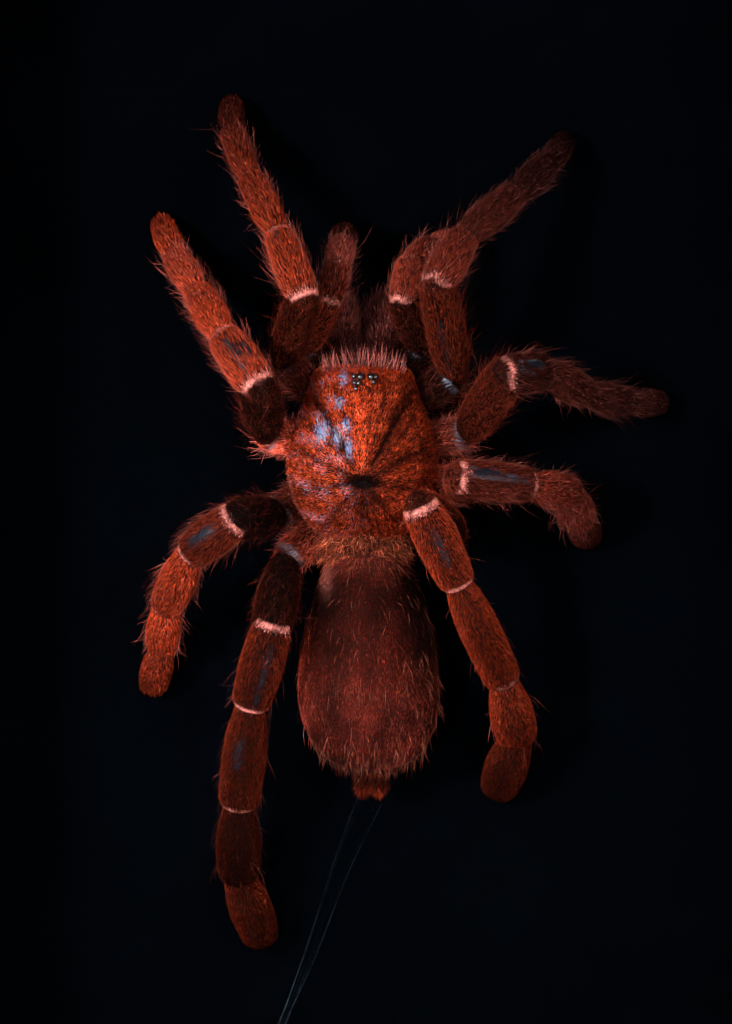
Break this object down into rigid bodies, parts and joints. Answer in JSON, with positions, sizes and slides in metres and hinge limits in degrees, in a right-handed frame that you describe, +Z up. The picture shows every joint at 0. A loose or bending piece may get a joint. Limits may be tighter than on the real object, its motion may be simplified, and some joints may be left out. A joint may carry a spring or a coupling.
{
  "type": "framed tarantula specimen",
  "caption": "Dried orange-brown tarantula with legs spread, on a black board behind glass in a deep black shadow-box frame that stands or hangs.",
  "frame": {"origin": "on the surface that the frame stands on, under the middle of its box", "axes": "+Z up along the frame's long side, +Y from the glass towards the wall, +X to the viewer's right"},
  "size_m": [0.17, 0.051, 0.22],
  "materials": {
    "frame_wood": "black stained, satin lacquer",
    "glass": "clear, anti-reflective",
    "mount_board": "matt black paper",
    "back_panel": "brown pressed fibreboard",
    "steel": "zinc plated",
    "carapace": "dry chitin with short orange velvet",
    "limb": "dry chitin under rust-red fur, pale joint rings",
    "abdomen": "mauve-brown velvet with longer bristles",
    "chelicera": "dark brown hairy chitin",
    "silk": "fine translucent threads"
  },
  "bodies": {
    "root": {"rail_bottom": "frame_wood", "rail_left": "frame_wood", "rail_top": "frame_wood", "rail_right": "frame_wood", "glass": "glass", "mount_board": "mount_board", "back_panel": "back_panel", "frame_point_1": "steel", "frame_point_2": "steel", "frame_point_3": "steel", "frame_point_4": "steel", "frame_point_5": "steel", "frame_point_6": "steel", "hanger": "steel", "cephalothorax": "carapace", "abdomen": "abdomen", "chelicera_left": "chelicera", "chelicera_right": "chelicera", "palp_left": "limb", "palp_right": "limb", "leg_1_left": "limb", "leg_2_left": "limb", "leg_3_left": "limb", "leg_4_left": "limb", "leg_1_right": "limb", "leg_2_right": "limb", "leg_3_right": "limb", "leg_4_right": "limb", "spinneret_left": "limb", "spinneret_right": "limb", "silk": "silk"}
  },
  "joints": []
}
